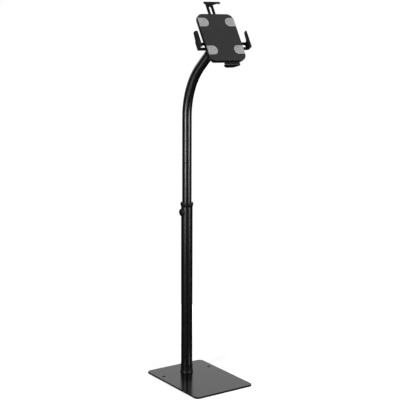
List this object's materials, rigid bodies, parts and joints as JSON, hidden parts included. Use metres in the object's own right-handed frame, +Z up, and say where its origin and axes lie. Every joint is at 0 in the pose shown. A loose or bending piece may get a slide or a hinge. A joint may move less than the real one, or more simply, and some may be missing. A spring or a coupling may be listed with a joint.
{
  "type": "tablet floor stand",
  "caption": "Floor stand for a tablet: flat foot plate, two-stage tube with a side knob, bent neck, and a tilting and turning holder with sliding hooks.",
  "frame": {"origin": "the tube's axis at the floor, under the rubber mat", "axes": "+Z up along the tube; the holder faces -Y and +Z, X runs across it"},
  "size_m": [0.235, 0.3453, 1.2989],
  "materials": {
    "plate_paint": "fine black powder coat, satin",
    "tube_paint": "smooth black paint, semi-gloss",
    "bracket_paint": "black powder coat",
    "arm_paint": "black powder coat on bent sheet",
    "tray_plastic": "fine-grained moulded black plastic",
    "housing_plastic": "fine-grained moulded black plastic",
    "fitting_plastic": "moulded black plastic, satin",
    "shoe_plastic": "natural white nylon",
    "pad_rubber": "soft grey rubber, matt",
    "black_rubber": "black rubber, matt",
    "zinc_steel": "bright zinc plate",
    "black_screws": "black oxide",
    "insert_brass": "plain brass"
  },
  "bodies": {
    "base": {"floor_mat": "black_rubber", "foot_plate": "plate_paint", "foot_plug": "zinc_steel", "foot_screws": "zinc_steel", "foot_cover": "fitting_plastic", "lower_tube": "tube_paint", "collar": "fitting_plastic", "clamp_boss": "zinc_steel"},
    "shoe": {"brake_shoe": "shoe_plastic"},
    "knob": {"clamp_knob": "fitting_plastic", "clamp_stud": "zinc_steel"},
    "mast": {"mast_tube": "tube_paint", "guide_bush": "fitting_plastic", "mast_eye": "bracket_paint", "eye_pins": "zinc_steel"},
    "fork": {"tilt_block": "bracket_paint", "pivot_bolt": "black_screws", "pivot_nut": "zinc_steel", "tilt_washers": "zinc_steel"},
    "holder": {"turn_flange": "bracket_paint", "flange_screws": "zinc_steel", "turn_washer": "zinc_steel", "turn_screw": "zinc_steel", "rear_housing": "housing_plastic", "front_tray": "tray_plastic", "pad_upper_left": "pad_rubber", "pad_upper_right": "pad_rubber", "pad_lower_left": "pad_rubber", "pad_lower_right": "pad_rubber", "tray_screws": "black_screws", "clamp_screws": "black_screws", "thread_inserts": "insert_brass"},
    "top_hook": {"arm_top": "arm_paint", "liner_top": "black_rubber"},
    "bottom_hook": {"arm_bottom": "arm_paint", "liner_bottom": "black_rubber"},
    "left_hook": {"arm_left": "arm_paint", "liner_left": "black_rubber"},
    "right_hook": {"arm_right": "arm_paint", "liner_right": "black_rubber"}
  },
  "joints": [
    {"name": "mast_height", "type": "slide", "parent": "base", "child": "mast", "axis": [0, 0, 1], "range_m": [-0.28, 0.19]},
    {"name": "shoe_slide", "type": "slide", "parent": "base", "child": "shoe", "axis": [-1, 0, 0], "range_m": [0, 0.001]},
    {"name": "knob_turn", "type": "hinge", "parent": "shoe", "child": "knob", "pos_m": [-0.022, 0, 0.5855], "axis": [-1, 0, 0], "range_deg": [0, 360]},
    {"name": "head_tilt", "type": "hinge", "parent": "mast", "child": "fork", "pos_m": [0, -0.15668, 1.15097], "axis": [-1, 0, 0], "range_deg": [-30, 60]},
    {"name": "head_turn", "type": "hinge", "parent": "fork", "child": "holder", "pos_m": [0, -0.201, 1.1868], "axis": [0, -0.8616, 0.5075], "range_deg": [-90, 90]},
    {"name": "arm_top_slide", "type": "slide", "parent": "holder", "child": "top_hook", "axis": [0, 0.5075, 0.8616], "range_m": [-0.034, 0.03]},
    {"name": "arm_bottom_slide", "type": "slide", "parent": "holder", "child": "bottom_hook", "axis": [0, -0.5075, -0.8616], "range_m": [-0.016, 0.038]},
    {"name": "arm_left_slide", "type": "slide", "parent": "holder", "child": "left_hook", "axis": [-1, 0, 0], "range_m": [-0.018, 0.026]},
    {"name": "arm_right_slide", "type": "slide", "parent": "holder", "child": "right_hook", "axis": [1, 0, 0], "range_m": [-0.018, 0.026]}
  ],
  "couplings": [
    {"joint": "knob_turn", "follows": "shoe_slide", "rad_per_m": 6283.2}
  ]
}
